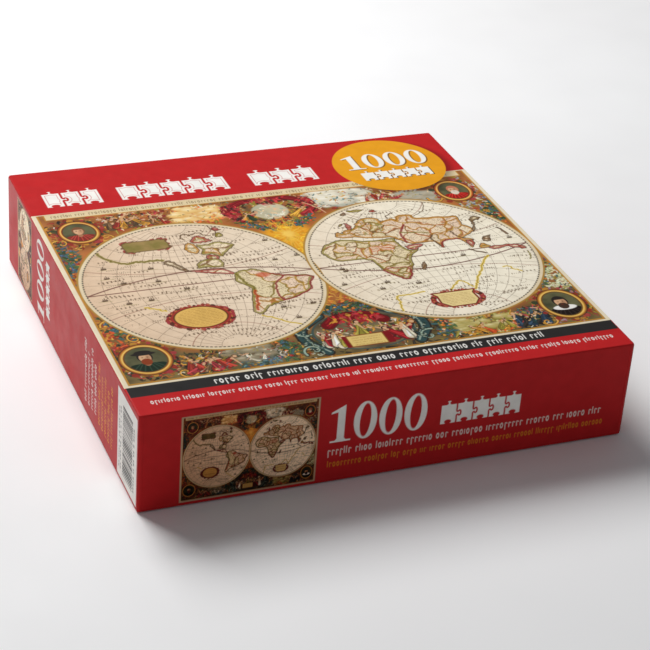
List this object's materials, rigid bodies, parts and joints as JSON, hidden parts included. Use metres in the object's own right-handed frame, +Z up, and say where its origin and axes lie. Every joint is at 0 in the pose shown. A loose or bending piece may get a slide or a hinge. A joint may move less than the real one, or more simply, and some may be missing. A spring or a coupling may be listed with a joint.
{
  "type": "boxed jigsaw puzzle",
  "caption": "Square two-piece set-up box with a full-depth lift-off lid, holding a sealed bag of loose die-cut cardboard jigsaw pieces.",
  "frame": {"origin": "centre of the tray's underside, on the surface the box stands on", "axes": "+Z up through the lid, -Y towards the front side panel, +X to the right of someone facing the front"},
  "size_m": [0.26, 0.26, 0.0545],
  "materials": {
    "lid_paper": "printed and gloss laminated",
    "base_paper": "plain red, gloss laminated",
    "greyboard": "uncoated",
    "stay_tape": "gummed kraft",
    "bag_film": "clear film",
    "puzzle_board": "printed face, grey-blue back"
  },
  "bodies": {
    "tray": {"base_board": "greyboard", "base_wrap": "base_paper", "base_stay_back_right": "stay_tape", "base_stay_back_left": "stay_tape", "base_stay_front_left": "stay_tape", "base_stay_front_right": "stay_tape"},
    "lid": {"lid_board": "greyboard", "lid_wrap": "lid_paper", "lid_stay_back_right": "stay_tape", "lid_stay_back_left": "stay_tape", "lid_stay_front_left": "stay_tape", "lid_stay_front_right": "stay_tape"},
    "bag": {"piece_bag": "bag_film", "loose_piece_mound": "puzzle_board", "puzzle_piece_01": "puzzle_board", "puzzle_piece_02": "puzzle_board", "puzzle_piece_03": "puzzle_board", "puzzle_piece_04": "puzzle_board", "puzzle_piece_05": "puzzle_board", "puzzle_piece_06": "puzzle_board", "puzzle_piece_07": "puzzle_board", "puzzle_piece_08": "puzzle_board", "puzzle_piece_09": "puzzle_board", "puzzle_piece_10": "puzzle_board", "puzzle_piece_11": "puzzle_board", "puzzle_piece_12": "puzzle_board", "puzzle_piece_13": "puzzle_board", "puzzle_piece_14": "puzzle_board", "puzzle_piece_15": "puzzle_board", "puzzle_piece_16": "puzzle_board", "puzzle_piece_17": "puzzle_board", "puzzle_piece_18": "puzzle_board", "puzzle_piece_19": "puzzle_board", "puzzle_piece_20": "puzzle_board", "puzzle_piece_21": "puzzle_board", "puzzle_piece_22": "puzzle_board", "puzzle_piece_23": "puzzle_board", "puzzle_piece_24": "puzzle_board", "puzzle_piece_25": "puzzle_board", "puzzle_piece_26": "puzzle_board", "puzzle_piece_27": "puzzle_board", "puzzle_piece_28": "puzzle_board", "puzzle_piece_29": "puzzle_board", "puzzle_piece_30": "puzzle_board", "puzzle_piece_31": "puzzle_board", "puzzle_piece_32": "puzzle_board", "puzzle_piece_33": "puzzle_board", "puzzle_piece_34": "puzzle_board", "puzzle_piece_35": "puzzle_board", "puzzle_piece_36": "puzzle_board"}
  },
  "joints": [
    {"name": "lid_lift", "type": "slide", "parent": "tray", "child": "lid", "axis": [0, 0, 1], "range_m": [0, 0.18]},
    {"name": "bag_lift", "type": "slide", "parent": "tray", "child": "bag", "axis": [0, 0, 1], "range_m": [0, 0.072]}
  ],
  "couplings": [
    {"joint": "bag_lift", "follows": "lid_lift", "ratio": 0.4}
  ]
}
